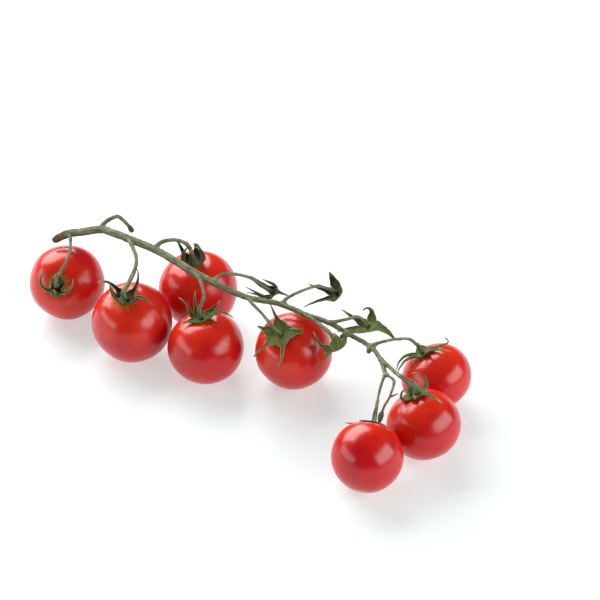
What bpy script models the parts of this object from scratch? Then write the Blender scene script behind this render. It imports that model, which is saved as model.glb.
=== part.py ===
"""A cut truss of eight small vine tomatoes, lying on a flat surface.

Metres, +Z up. +X runs along the truss from its cut end to its tip, +Y is the
side of the truss that lies behind its stalk, and the origin is on the surface
at the middle of the footprint. Sizes below are in millimetres and degrees, and
MM turns them into metres. A heading is an angle in plan from +X, and a tilt is
an angle above the surface.
"""

import math
from collections import namedtuple

import bmesh
import bpy
from mathutils import Matrix, Vector

MM = 0.001

Fruit = namedtuple("Fruit", "x y radius height heading tilt")
Sepal = namedtuple("Sepal", "heading length bends sweep width")
Stalk = namedtuple("Stalk", "joint route girth swell", defaults=(1.0, 1.0))

# The eight tomatoes, from the cut end to the tip: plan position of the centre,
# radius, height as a share of the radius, and where the stalk end points.
FRUITS = (
    Fruit(-81.8, -1.2, 15.2, 1.00, -66, 30),
    Fruit(-42.4, -10.1, 15.8, 1.02, -78, 72),
    Fruit(-33.6, 22.6, 15.9, 0.98, -91, 81),
    Fruit(-10.2, -6.0, 14.8, 0.96, 180, 82),
    Fruit(20.5, 9.0, 14.9, 1.02, -102, 58),
    Fruit(73.2, 27.0, 13.5, 0.90, -165, 59),
    Fruit(82.8, -0.7, 13.7, 0.95, 167, 66),
    Fruit(74.2, -27.1, 13.0, 1.00, 108, 38),
)
DIMPLE_DEPTH = 0.13
DIMPLE_SPREAD = math.radians(20)
SCAR_DEPTH = 0.012
SCAR_SPREAD = math.radians(14)
LOBES = 5
LOBE_DEPTH = 0.008
FLAT_DEPTH = 0.4
SNAP = 0.03
FRUIT_SEGMENTS = 20
FRUIT_RINGS = 12

# The main stalk, from the cut end to the last fork.
RACHIS = (
    (-88.2, -0.4, 32.0), (-86.2, 2.3, 33.4), (-83.4, 4.8, 34.5), (-77.8, 6.1, 36.5),
    (-70.5, 9.2, 38.5), (-64.7, 8.8, 39.3), (-55.6, 7.9, 40.0), (-42.5, 7.2, 40.0),
    (-32.1, 5.5, 39.7), (-21.9, 3.9, 39.0), (-12.5, 3.5, 38.0), (-4.2, 3.8, 36.8),
    (2.5, 5.0, 35.5), (8.4, 7.7, 34.5), (14.2, 10.3, 33.5), (24.6, 11.3, 32.0),
    (33.4, 12.8, 31.0), (42.5, 12.2, 29.8), (52.7, 11.2, 28.5), (59.4, 7.1, 28.0),
    (64.6, 1.8, 27.0),
)
RACHIS_RADIUS = ((0.0, 1.3), (0.03, 1.7), (0.06, 1.6), (0.42, 1.5), (0.58, 1.33), (0.8, 1.22), (1.0, 1.05))

# The stalks of the fruit, in the order of FRUITS: the place in RACHIS where
# each one leaves, its route up to the last bend, its share of the common
# girth and how much it swells at its end. It then runs along the fruit's own
# axis into the calyx.
FRUIT_STALKS = (
    Stalk(2, ((-80.5, 1.6, 34.2), (-77.8, -1.9, 33.8), (-75.6, -6.0, 32.4), (-74.8, -10.5, 30.0),
              (-75.6, -14.2, 27.0)), 0.75),
    Stalk(6, ((-50.6, 3.6, 40.2), (-47.1, 0.7, 39.6), (-44.7, -2.2, 38.4), (-43.2, -5.8, 37.0),
              (-42.4, -10.5, 34.8)), 0.9),
    Stalk(7, ((-42.3, 9.6, 41.5), (-40.3, 11.7, 42.5), (-37.9, 13.9, 42.5), (-35.7, 16.5, 40.8),
              (-34.6, 19.0, 37.5)), 0.9),
    Stalk(9, ((-16.7, 0.6, 39.3), (-12.9, -2.8, 38.3), (-11.0, -4.9, 36.4), (-11.4, -6.0, 34.0)),
          0.75),
    Stalk(12, ((6.4, 2.5, 35.3), (9.9, 1.4, 34.5), (14.6, -0.1, 32.8), (17.0, -0.7, 31.6)), 0.7),
    Stalk(18, ((54.9, 12.9, 29.8), (58.8, 15.5, 31.2), (61.7, 17.6, 31.5), (64.2, 20.4, 30.6)), 0.65),
    Stalk(19, ((65.4, 4.0, 28.6), (69.4, 1.6, 29.2), (72.8, 0.2, 29.6)), 0.85, 2.0),
    Stalk(20, ((66.7, -5.4, 26.0), (68.7, -10.7, 24.9), (70.2, -14.4, 24.0)), 0.6, 1.3),
)
# The stalks that lost their fruit and kept its calyx.
BARE_STALKS = (
    Stalk(10, ((-11.5, 6.6, 39.5), (-9.2, 8.5, 40.0), (-7.3, 11.3, 39.0), (-5.3, 14.4, 37.0),
               (-3.5, 17.4, 34.5), (-1.5, 18.9, 31.8), (3.1, 21.1, 28.5)), 0.75),
    Stalk(14, ((14.7, 12.7, 34.8), (16.6, 15.7, 36.0), (18.8, 19.8, 36.5), (20.9, 24.4, 36.0),
               (22.5, 27.8, 34.0), (25.1, 32.1, 30.0)), 0.7),
    Stalk(15, ((29.6, 9.3, 32.6), (34.4, 7.8, 32.4), (38.2, 6.9, 31.2), (41.8, 5.3, 27.4)), 0.8),
    Stalk(16, ((36.3, 13.8, 32.0), (39.0, 16.1, 32.5), (40.9, 19.9, 32.0), (42.4, 22.2, 30.4),
               (44.6, 23.0, 27.5)), 0.75),
)
STALK_RADIUS = ((0.0, 1.35), (0.14, 0.95), (0.45, 0.8), (0.56, 0.85), (0.62, 1.1), (0.69, 0.9),
                (0.88, 1.15), (1.0, 1.35))
SWELL_FROM = 0.8
# The stalk that lost both, and the thin one that ends in a dried bud.
LOST_STALK = Stalk(4, ((-70.7, 11.5, 40.0), (-69.2, 13.2, 41.5), (-67.1, 15.5, 42.5),
                       (-64.7, 15.6, 42.0), (-61.7, 15.6, 40.0), (-59.6, 15.7, 37.5)))
LOST_RADIUS = ((0.0, 1.4), (0.2, 0.85), (0.8, 0.75), (0.93, 1.1), (1.0, 0.9))
DRY_STALK = Stalk(20, ((66.5, 0.6, 27.6), (70.5, -2.0, 28.2), (73.5, -10.6, 28.4),
                       (74.5, -16.1, 28.4), (75.1, -18.5, 28.3)))
DRY_RADIUS = ((0.0, 0.9), (0.15, 0.5), (0.3, 0.6), (0.6, 0.45), (1.0, 0.5))
BUD_START = Vector((75.2, -18.8, 28.3))
BUD_END = Vector((77.0, -24.4, 27.3))
BUD_RADIUS = 1.25
# Short stumps where side flowers broke off.
STUMPS = (
    Stalk(17, ((41.0, 9.4, 29.4),)),
    Stalk(18, ((53.6, 8.4, 27.6),)),
)
STUMP_RADIUS = ((0.0, 1.3), (1.0, 0.7))
ROUTE_STEP = 2.3
TUBE_SIDES_RESOLUTION = 2

# The calyxes: the sepals round each hub. A heading runs round the hub's axis,
# the bends give the slope out of the hub's plane at shares of the length, a
# sweep turns the sepal sideways and its width is a share of the common one.
CALYXES = (
    (Sepal(100, 6.5, ((0, 10), (1, 10)), 0, 1.0),
     Sepal(205, 13.0, ((0, 70), (0.25, 60), (0.4, 25), (1, 5)), -150, 0.6),
     Sepal(255, 9.0, ((0, 20), (0.25, 80), (0.5, 105), (1, 115)), 0, 1.0),
     Sepal(298, 9.0, ((0, 20), (0.25, 80), (0.5, 105), (1, 115)), 0, 1.0),
     Sepal(345, 13.0, ((0, 70), (0.25, 60), (0.4, 25), (1, 5)), 110, 0.6)),
    (Sepal(5, 13.8, ((0, 30), (0.35, 60), (0.7, -15), (1, -45)), -6, 0.9),
     Sepal(61, 14.8, ((0, 42), (1, 96)), 2, 0.85),
     Sepal(160, 12.4, ((0, 55), (0.4, 25), (0.8, -20), (1, -40)), 40, 0.8),
     Sepal(215, 11.5, ((0, 60), (0.4, 85), (0.85, 95), (1, 60)), 0, 0.95),
     Sepal(290, 11.0, ((0, 50), (0.35, 85), (0.6, 70), (1, -40)), 45, 1.2)),
    (Sepal(20, 10.5, ((0, 40), (0.3, 80), (0.6, 108), (0.85, 140), (1, 160)), 0, 2.0),
     Sepal(92, 10.0, ((0, 40), (0.3, 80), (0.6, 108), (0.85, 135), (1, 150)), 0, 2.0),
     Sepal(178, 10.5, ((0, 30), (0.4, 75), (0.8, 60), (1, 20)), -20, 1.0),
     Sepal(243, 10.5, ((0, 40), (0.3, 80), (0.6, 108), (0.85, 140), (1, 160)), 0, 2.0),
     Sepal(308, 10.5, ((0, 40), (0.3, 80), (0.6, 108), (0.85, 140), (1, 160)), 0, 2.0)),
    (Sepal(10, 13.0, ((0, 45), (0.4, 28), (0.7, -10), (1, -45)), 0, 0.9),
     Sepal(50, 8.0, ((0, 35), (1, 55)), 0, 1.6),
     Sepal(152, 10.0, ((0, 30), (0.35, 80), (0.5, 75), (1, 65)), -80, 0.6),
     Sepal(192, 10.5, ((0, 30), (0.4, 85), (0.75, 60), (1, 10)), 0, 0.65),
     Sepal(240, 6.0, ((0, 12), (1, 0)), -15, 0.6)),
    (Sepal(25, 12.5, ((0, -8), (0.45, 0), (0.65, 140), (1, 172)), 2, 0.75),
     Sepal(116, 10.5, ((0, 45), (0.6, 70), (1, 40)), 15, 0.8),
     Sepal(189, 9.5, ((0, 40), (0.5, 0), (1, -57)), -30, 0.8),
     Sepal(256, 12.5, ((0, 35), (1, 20)), 15, 0.75),
     Sepal(318, 14.5, ((0, 17), (1, 10)), -41, 0.75)),
    (Sepal(20, 12.0, ((0, 20), (0.7, 8), (0.8, 70), (1, 160)), 0, 0.7),
     Sepal(135, 7.0, ((0, 25), (1, -20)), 0, 0.8),
     Sepal(216, 11.0, ((0, 60), (0.4, 0), (1, -60)), 15, 0.6),
     Sepal(250, 11.5, ((0, 53), (0.4, 5), (1, -50)), -15, 0.6),
     Sepal(342, 14.4, ((0, 30), (1, -35)), 10, 0.6)),
    (Sepal(32, 12.0, ((0, 19), (1, 172)), 6, 0.7),
     Sepal(112, 7.0, ((0, 20), (1, -20)), 0, 1.0),
     Sepal(250, 12.0, ((0, -20), (0.1, -10), (1, 250)), 0, 0.6),
     Sepal(300, 5.0, ((0, 5), (0.5, 20), (1, 90)), 0, 1.6),
     Sepal(340, 13.1, ((0, 22), (1, -34)), 0, 0.75)),
    (Sepal(28, 4.5, ((0, 0), (1, -50)), 0, 0.9), Sepal(100, 9.5, ((0, 15), (1, -30)), 0, 0.9),
     Sepal(170, 10.0, ((0, 5), (0.6, 0), (1, 15)), 0, 0.6),
     Sepal(245, 4.5, ((0, 0), (1, -50)), 0, 0.9), Sepal(322, 4.5, ((0, 0), (1, -50)), 0, 0.9)),
)
BARE_CALYXES = (
    (Sepal(0, 7.0, ((0, -10), (0.4, -40), (1, -60)), 0, 0.8),
     Sepal(68, 7.5, ((0, 60), (0.3, 95), (1, 95)), 0, 1.0),
     Sepal(150, 10.5, ((0, 55), (0.3, 90), (1, 88)), -10, 0.9),
     Sepal(236, 11.0, ((0, 50), (0.3, 85), (1, 88)), 0, 0.9),
     Sepal(282, 10.5, ((0, 50), (0.3, 78), (1, 72)), -10, 0.9)),
    (Sepal(12, 7.0, ((0, 40), (1, 60)), 5, 0.8), Sepal(112, 6.5, ((0, 30), (1, 50)), 0, 2.1),
     Sepal(185, 9.5, ((0, 50), (1, 60)), 0, 0.9), Sepal(245, 12.5, ((0, 62), (1, 38)), 5, 0.8),
     Sepal(312, 7.0, ((0, 50), (1, 80)), 0, 0.9)),
    (Sepal(10, 4.5, ((0, 15), (0.5, 60), (1, 95)), 0, 2.2),
     Sepal(100, 5.0, ((0, 60), (1, 75)), 0, 1.0),
     Sepal(178, 12.0, ((0, -15), (1, -25)), 0, 0.5),
     Sepal(218, 10.5, ((0, 50), (0.5, 75), (1, 95)), 0, 1.1),
     Sepal(318, 6.0, ((0, 60), (0.4, 85), (1, 92)), 0, 2.4)),
    (Sepal(0, 12.5, ((0, -14), (1, -45)), -35, 1.6),
     Sepal(78, 9.0, ((0, 30), (0.4, 60), (0.6, 110), (1, 190)), 0, 1.5),
     Sepal(166, 11.5, ((0, 58), (1, 40)), 0, 0.9),
     Sepal(198, 11.0, ((0, 30), (1, 8)), 0, 1.4),
     Sepal(234, 7.5, ((0, 40), (1, 35)), 0, 1.3)),
)
HUB_RADIUS = 2.7
SEPAL_THICKNESS = 0.65
SEPAL_KEEL = 0.35
SEPAL_WIDTH = ((0.0, 4.0), (0.2, 3.2), (0.45, 2.4), (0.7, 1.5), (1.0, 0.5))
WIDEST_SHARE = 1.1
WIDEST_ROOM = 90
ROOM_SHARE = 0.72
OFF_STALK = 2.6
SEPAL_ROWS = 8
NOTCH_ANGLE = 14
WIDEST_HALF_ANGLE = 34
GAP = 0.3
HUB_CLEARANCE = 0.45
ON_SKIN = 0.85
WELD = 0.01

RED = (0.62, 0.012, 0.010, 1.0)
STALK_GREEN = (0.29, 0.34, 0.17, 1.0)
CALYX_GREEN = (0.075, 0.14, 0.035, 1.0)
DRIED_BROWN = (0.26, 0.17, 0.07, 1.0)


def clear_scene():
    """Removes every object of the open file."""
    for item in list(bpy.data.objects):
        bpy.data.objects.remove(item, do_unlink=True)


def new_collection(name):
    """Links a new collection to the scene."""
    collection = bpy.data.collections.new(name)
    bpy.context.scene.collection.children.link(collection)
    return collection


def plain_material(name, colour, roughness):
    """A Principled material of one colour."""
    material = bpy.data.materials.new(name)
    material.use_nodes = True
    shader = material.node_tree.nodes["Principled BSDF"]
    shader.inputs["Base Color"].default_value = colour
    shader.inputs["Roughness"].default_value = roughness
    shader.inputs["Metallic"].default_value = 0.0
    return material


def direction(heading, tilt):
    """The unit vector at a heading in plan and a tilt above the surface."""
    turn = math.radians(heading)
    rise = math.radians(tilt)
    return Vector((math.cos(rise) * math.cos(turn), math.cos(rise) * math.sin(turn), math.sin(rise)))


def axis_frame(axis):
    """Turns local +Z to the axis, with local +X as near to world +X as it can be."""
    across = Vector((1.0, 0.0, 0.0))
    across = (across - axis * across.dot(axis)).normalized()
    return Matrix((across, axis.cross(across), axis)).transposed()


def interpolate(keys, place):
    """Reads a list of (place, value) keys, with straight runs between them."""
    for (start, low), (end, high) in zip(keys, keys[1:]):
        if place <= end:
            return low + (high - low) * (place - start) / (end - start)
    return keys[-1][1]


def smooth_route(points):
    """A curve through the points, read about every ROUTE_STEP."""
    points = [Vector(point) for point in points]
    ends = [points[0] * 2 - points[1]] + points + [points[-1] * 2 - points[-2]]
    route = [points[0]]
    for before, start, end, after in zip(ends, ends[1:], ends[2:], ends[3:]):
        steps = max(1, round((end - start).length / ROUTE_STEP))
        for step in range(1, steps + 1):
            t = step / steps
            route.append(0.5 * (2 * start + (end - before) * t
                                + (2 * before - 5 * start + 4 * end - after) * t ** 2
                                + (3 * start - before - 3 * end + after) * t ** 3))
    return route


def new_object(name, mesh, material, collection, smooth_angle=180):
    """Links a mesh object with its material, shaded smooth."""
    mesh.materials.clear()
    mesh.materials.append(material)
    mesh.shade_smooth()
    mesh.set_sharp_from_angle(angle=math.radians(smooth_angle))
    piece = bpy.data.objects.new(name, mesh)
    collection.objects.link(piece)
    return piece


def tube(name, points, radius_keys, collection):
    """A closed mesh tube along a route, as thick as its radius keys say."""
    route = smooth_route(points)
    lengths = [0.0]
    for start, end in zip(route, route[1:]):
        lengths.append(lengths[-1] + (end - start).length)
    data = bpy.data.curves.new(name, "CURVE")
    data.dimensions = "3D"
    data.bevel_depth = MM
    data.bevel_resolution = TUBE_SIDES_RESOLUTION
    data.use_fill_caps = True
    spline = data.splines.new("POLY")
    spline.points.add(len(route) - 1)
    for point, place, length in zip(spline.points, route, lengths):
        point.co = (*(place * MM), 1.0)
        point.radius = interpolate(radius_keys, length / lengths[-1])
    guide = bpy.data.objects.new(name, data)
    collection.objects.link(guide)
    depsgraph = bpy.context.evaluated_depsgraph_get()
    mesh = bpy.data.meshes.new_from_object(guide.evaluated_get(depsgraph))
    bpy.data.objects.remove(guide)
    shape = bmesh.new()
    shape.from_mesh(mesh)
    bmesh.ops.remove_doubles(shape, verts=shape.verts, dist=WELD * MM)
    shape.to_mesh(mesh)
    shape.free()
    piece = bpy.data.objects.new(name, mesh)
    collection.objects.link(piece)
    return piece


def fruit_centre(fruit):
    """The centre of a tomato that rests on its own small flat."""
    axis = direction(fruit.heading, fruit.tilt)
    reach = math.sqrt((fruit.height * axis.z) ** 2 + 1 - axis.z ** 2)
    return Vector((fruit.x, fruit.y, fruit.radius * reach - FLAT_DEPTH))


def fruit_skin(fruit, angle, turn=0.0):
    """A point of the skin about the centre, by its angle from the stalk end."""
    lobe = 1 + LOBE_DEPTH * math.cos(LOBES * turn) * math.sin(angle)
    side = math.sin(angle) * lobe
    height = fruit.height * math.cos(angle)
    height -= DIMPLE_DEPTH * math.exp(-((angle / DIMPLE_SPREAD) ** 2))
    height += SCAR_DEPTH * math.exp(-(((math.pi - angle) / SCAR_SPREAD) ** 2))
    return Vector((side * math.cos(turn), side * math.sin(turn), height)) * fruit.radius


def make_fruit(name, fruit, material, collection):
    """One tomato: a low globe with its stalk dimple, lobes, scar and rest flat."""
    shape = bmesh.new()
    bmesh.ops.create_uvsphere(shape, u_segments=FRUIT_SEGMENTS, v_segments=FRUIT_RINGS, radius=1.0)
    for vert in shape.verts:
        angle = math.acos(max(-1.0, min(1.0, vert.co.z)))
        turn = math.atan2(vert.co.y, vert.co.x)
        vert.co = fruit_skin(fruit, angle, turn) * MM
    frame = axis_frame(direction(fruit.heading, fruit.tilt)).to_4x4()
    move = Matrix.Translation(fruit_centre(fruit) * MM) @ frame
    bmesh.ops.transform(shape, matrix=move, verts=shape.verts)
    geometry = shape.verts[:] + shape.edges[:] + shape.faces[:]
    cut = bmesh.ops.bisect_plane(shape, geom=geometry, dist=SNAP * MM, plane_co=(0, 0, 0), plane_no=(0, 0, -1),
                                 clear_outer=True)
    rim = [item for item in cut["geom_cut"] if isinstance(item, bmesh.types.BMEdge)]
    for vert in {vert for edge in rim for vert in edge.verts}:
        vert.co.z = 0.0
    bmesh.ops.edgeloop_fill(shape, edges=rim)
    bmesh.ops.recalc_face_normals(shape, faces=shape.faces)
    mesh = bpy.data.meshes.new(name)
    shape.to_mesh(mesh)
    shape.free()
    return new_object(name, mesh, material, collection, smooth_angle=40)


def hub_height(fruit):
    """How far along the fruit's axis its calyx hub sits, clear of the skin."""
    edge = math.asin(HUB_RADIUS / fruit.radius)
    return fruit_skin(fruit, edge).z + HUB_CLEARANCE + SEPAL_THICKNESS / 2


def keep_off_skin(point, fruit, frame, centre):
    """Moves a point of a sepal out until it clears the tomato."""
    local = frame.transposed() @ (point - centre)
    angle = local.angle(Vector((0, 0, 1)))
    skin = fruit_skin(fruit, angle).length + ON_SKIN
    if local.length < skin:
        local = local.normalized() * skin
    return centre + frame @ local


def sepal_width(place):
    """The width of a sepal at a share of its length from the hub."""
    return interpolate(SEPAL_WIDTH, place)


def sepal_rows(sepal, room, frame, hub):
    """The rows across a sepal: its left edge, its keel and its right edge.

    The room is the angle to the nearest sepal, which limits how wide it can be.
    """
    slope = math.tan(math.radians(min(room, WIDEST_ROOM) / 2)) * ROOM_SHARE
    turn = math.radians(sepal.heading)
    out = frame @ Vector((math.cos(turn), math.sin(turn), 0.0))
    axis = frame.col[2]
    side = axis.cross(out)
    step = sepal.length / SEPAL_ROWS
    point = hub + out * HUB_RADIUS
    for row in range(SEPAL_ROWS):
        place = (row + 0.5) / SEPAL_ROWS
        rise = math.radians(interpolate(sepal.bends, place))
        bend = math.radians(sepal.sweep * place)
        level = out * math.cos(bend) + side * math.sin(bend)
        point = point + (level * math.cos(rise) + axis * math.sin(rise)) * step
        across = side * math.cos(bend) - out * math.sin(bend)
        back = axis * math.cos(rise) - level * math.sin(rise)
        half = sepal_width((row + 1) / SEPAL_ROWS) / 2 * min(sepal.width, WIDEST_SHARE)
        away = (point - hub) - axis * (point - hub).dot(axis)
        clear = point + away.normalized() * max(0.0, OFF_STALK - away.length)
        half = min(half, max(OFF_STALK, away.length) * slope)
        yield clear - across * half, clear - back * SEPAL_KEEL * half, clear + across * half


def make_calyx(name, sepals, hub, axis, fruit, material, collection):
    """A calyx: a round hub whose rim is drawn out into its sepals."""
    frame = axis_frame(axis)
    shape = bmesh.new()
    circle = bmesh.ops.create_circle(shape, cap_ends=True, segments=3 * len(sepals), radius=HUB_RADIUS)
    rim = sorted(circle["verts"], key=lambda vert: math.atan2(vert.co.y, vert.co.x) % math.tau)
    headings = [sepal.heading for sepal in sepals]
    for number, sepal in enumerate(sepals):
        before = (sepal.heading - headings[number - 1]) % 360
        after = (headings[(number + 1) % len(sepals)] - sepal.heading) % 360
        half = min(WIDEST_HALF_ANGLE, (min(before, after) - NOTCH_ANGLE) / 2)
        roots = rim[3 * number:3 * number + 3]
        for vert, turn in zip(roots, (-half, 0, half)):
            angle = math.radians(sepal.heading + turn)
            vert.co = hub + frame @ Vector((math.cos(angle), math.sin(angle), 0.0)) * HUB_RADIUS
        edges = [edge for edge in shape.edges if len(set(edge.verts) & set(roots)) == 2]
        for places in sepal_rows(sepal, min(before, after), frame, hub):
            grown = bmesh.ops.extrude_edge_only(shape, edges=edges)["geom"]
            edges = [item for item in grown if isinstance(item, bmesh.types.BMEdge)
                     and len(item.link_faces) == 1 and not set(item.verts) & set(roots)]
            row = order_along(edges, roots)
            for vert, place in zip(row, places):
                vert.co = keep_off_skin(place, fruit, *fruit_frame(fruit)) if fruit else place
            roots = row
    bmesh.ops.recalc_face_normals(shape, faces=shape.faces)
    bmesh.ops.triangulate(shape, faces=shape.faces)
    bmesh.ops.scale(shape, vec=(MM, MM, MM), verts=shape.verts)
    mesh = bpy.data.meshes.new(name)
    shape.to_mesh(mesh)
    shape.free()
    piece = new_object(name, mesh, material, collection)
    wall = piece.modifiers.new("blade", "SOLIDIFY")
    wall.thickness = SEPAL_THICKNESS * MM
    wall.offset = 0.0
    return piece


def order_along(edges, roots):
    """The three new vertices of a drawn-out edge pair, in the order of the old ones."""
    fresh = {vert for edge in edges for vert in edge.verts}
    row = []
    for root in roots:
        for edge in root.link_edges:
            other = edge.other_vert(root)
            if other in fresh:
                row.append(other)
    return row


def fruit_frame(fruit):
    """The turn and the centre of a tomato."""
    return axis_frame(direction(fruit.heading, fruit.tilt)), fruit_centre(fruit)


def make_bud(name, material, collection):
    """The dried flower bud: a slim spindle with a pointed end."""
    shape = bmesh.new()
    bmesh.ops.create_uvsphere(shape, u_segments=10, v_segments=8, radius=1.0)
    length = (BUD_END - BUD_START).length
    for vert in shape.verts:
        narrow = BUD_RADIUS * (1 - 0.35 * (vert.co.z + 1) / 2)
        vert.co = Vector((vert.co.x * narrow, vert.co.y * narrow, (vert.co.z + 1) * length / 2))
    frame = axis_frame((BUD_END - BUD_START).normalized()).to_4x4()
    move = Matrix.Scale(MM, 4) @ Matrix.Translation(BUD_START) @ frame
    bmesh.ops.transform(shape, matrix=move, verts=shape.verts)
    mesh = bpy.data.meshes.new(name)
    shape.to_mesh(mesh)
    shape.free()
    return new_object(name, mesh, material, collection)


def stalk_radius(stalk):
    """The radius along a side stalk."""
    return tuple((place, radius * stalk.girth * (stalk.swell if place > SWELL_FROM else 1.0))
                 for place, radius in STALK_RADIUS)


def make_stem(name, material, collection, scrap):
    """The main stalk and all its side stalks, joined into one solid."""
    trunk = tube("main_stalk", RACHIS, RACHIS_RADIUS, collection)
    for number, (stalk, fruit) in enumerate(zip(FRUIT_STALKS, FRUITS)):
        frame, centre = fruit_frame(fruit)
        axis = frame.col[2]
        end = centre + axis * (hub_height(fruit) + SEPAL_THICKNESS / 2 + GAP)
        points = (RACHIS[stalk.joint], *stalk.route, end + axis * 3.2, end)
        tube(f"fruit_stalk_{number + 1}", points, stalk_radius(stalk), scrap)
    for number, stalk in enumerate(BARE_STALKS):
        tube(f"bare_stalk_{number + 1}", (RACHIS[stalk.joint], *stalk.route), stalk_radius(stalk), scrap)
    tube("lost_stalk", (RACHIS[LOST_STALK.joint], *LOST_STALK.route), LOST_RADIUS, scrap)
    tube("dry_stalk", (RACHIS[DRY_STALK.joint], *DRY_STALK.route), DRY_RADIUS, scrap)
    for number, stump in enumerate(STUMPS):
        tube(f"stump_{number + 1}", (RACHIS[stump.joint], *stump.route), STUMP_RADIUS, scrap)
    union = trunk.modifiers.new("union", "BOOLEAN")
    union.operation = "UNION"
    union.operand_type = "COLLECTION"
    union.collection = scrap
    union.solver = "EXACT"
    depsgraph = bpy.context.evaluated_depsgraph_get()
    mesh = bpy.data.meshes.new_from_object(trunk.evaluated_get(depsgraph))
    bpy.data.objects.remove(trunk)
    for item in list(scrap.objects):
        bpy.data.objects.remove(item)
    bpy.data.collections.remove(scrap)
    shape = bmesh.new()
    shape.from_mesh(mesh)
    bmesh.ops.remove_doubles(shape, verts=shape.verts, dist=SNAP * MM)
    bmesh.ops.dissolve_degenerate(shape, edges=shape.edges, dist=SNAP * MM)
    bmesh.ops.triangulate(shape, faces=shape.faces)
    shape.to_mesh(mesh)
    shape.free()
    mesh.name = name
    return new_object(name, mesh, material, collection, smooth_angle=50)


def main():
    """Models the truss."""
    clear_scene()
    truss = new_collection("tomato_truss")
    scrap = new_collection("stalks_to_join")
    red = plain_material("tomato_skin", RED, 0.2)
    green = plain_material("stalk_green", STALK_GREEN, 0.75)
    leaf = plain_material("calyx_green", CALYX_GREEN, 0.7)
    brown = plain_material("dried_brown", DRIED_BROWN, 0.85)
    make_stem("stem", green, truss, scrap)
    for number, (fruit, sepals) in enumerate(zip(FRUITS, CALYXES), start=1):
        make_fruit(f"tomato_{number}", fruit, red, truss)
        frame, centre = fruit_frame(fruit)
        axis = frame.col[2]
        make_calyx(f"calyx_{number}", sepals, centre + axis * hub_height(fruit), axis, fruit, leaf, truss)
    for number, (stalk, sepals) in enumerate(zip(BARE_STALKS, BARE_CALYXES), start=1):
        before, end = (Vector(point) for point in stalk.route[-2:])
        axis = (before - end).normalized()
        hub = end - axis * (GAP + SEPAL_THICKNESS / 2)
        make_calyx(f"bare_calyx_{number}", sepals, hub, axis, None, leaf, truss)
    make_bud("dried_bud", brown, truss)


main()
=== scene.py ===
"""The looks of a cut truss of eight small vine tomatoes, lying on a pale surface.

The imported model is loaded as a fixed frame, and each piece made here stands for
one of its nodes. +X runs along the truss from its cut end to its tip, +Z is up
and the origin is on the surface. Sizes are in millimetres and degrees, and MM
turns them into metres. A heading is an angle in plan from +X, and a tilt is an
angle above the surface.
"""

import logging
import math
import random
from collections.abc import Iterator, Sequence
from dataclasses import dataclass, field
from enum import Enum

import bpy
from mathutils import Matrix, Vector, noise
from mathutils.kdtree import KDTree


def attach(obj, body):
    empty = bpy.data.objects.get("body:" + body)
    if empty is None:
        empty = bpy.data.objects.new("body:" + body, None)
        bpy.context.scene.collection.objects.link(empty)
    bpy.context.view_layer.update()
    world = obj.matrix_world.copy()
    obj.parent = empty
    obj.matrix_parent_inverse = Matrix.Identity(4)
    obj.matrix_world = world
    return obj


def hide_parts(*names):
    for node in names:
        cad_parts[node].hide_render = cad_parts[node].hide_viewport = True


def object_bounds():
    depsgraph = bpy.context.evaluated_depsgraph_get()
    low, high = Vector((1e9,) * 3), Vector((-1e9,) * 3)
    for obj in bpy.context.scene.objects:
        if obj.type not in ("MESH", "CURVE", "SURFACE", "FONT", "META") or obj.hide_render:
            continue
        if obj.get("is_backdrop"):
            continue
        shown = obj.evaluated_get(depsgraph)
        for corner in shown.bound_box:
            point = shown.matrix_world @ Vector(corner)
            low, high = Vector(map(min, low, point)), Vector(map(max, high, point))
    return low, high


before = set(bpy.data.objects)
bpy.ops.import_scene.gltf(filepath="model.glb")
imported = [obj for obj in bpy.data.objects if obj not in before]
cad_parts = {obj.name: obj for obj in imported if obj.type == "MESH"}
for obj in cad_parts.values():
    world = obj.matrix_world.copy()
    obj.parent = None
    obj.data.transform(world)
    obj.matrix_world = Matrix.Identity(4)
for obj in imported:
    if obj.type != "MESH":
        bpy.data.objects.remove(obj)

CAD_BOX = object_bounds()
BODY = "root"
MM = 0.001
UP = Vector((0.0, 0.0, 1.0))
Keys = Sequence[tuple[float, float]]
Colour = tuple[float, float, float]
log = logging.getLogger("tomato_truss")


class Slot(Enum):
    """The record's material slots."""

    SKIN = "tomato_skin"
    STALK = "stalk"
    CALYX = "calyx"
    BUD = "dried_bud"


class Mask(Enum):
    """The shared shader node groups."""

    MOTTLE = "mottle"
    SPECKS = "specks"
    STREAKS = "streaks"


def direction(heading: float, tilt: float) -> Vector:
    """Gives the unit vector at a heading in plan and a tilt above the surface.

    Args:
        heading: Degrees from +X.
        tilt: Degrees above the surface.

    Returns:
        The unit vector.
    """
    turn = math.radians(heading)
    rise = math.radians(tilt)
    return Vector((math.cos(rise) * math.cos(turn), math.cos(rise) * math.sin(turn), math.sin(rise)))


def axis_frame(axis: Vector) -> Matrix:
    """Turns local +Z to an axis, with local +X as near to world +X as it can be.

    Args:
        axis: The unit vector that local +Z turns to.

    Returns:
        The rotation, as three columns.
    """
    across = Vector((1.0, 0.0, 0.0))
    across = (across - axis * across.dot(axis)).normalized()
    return Matrix((across, axis.cross(across), axis)).transposed()


def read_keys(keys: Keys, place: float) -> float:
    """Reads a list of (place, value) keys, in straight lines between them.

    Args:
        keys: The keys, by rising place.
        place: Where to read.

    Returns:
        The value there.
    """
    for (start, low), (end, high) in zip(keys, keys[1:]):
        if place <= end:
            return low + (high - low) * (place - start) / (end - start)
    return keys[-1][1]


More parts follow.
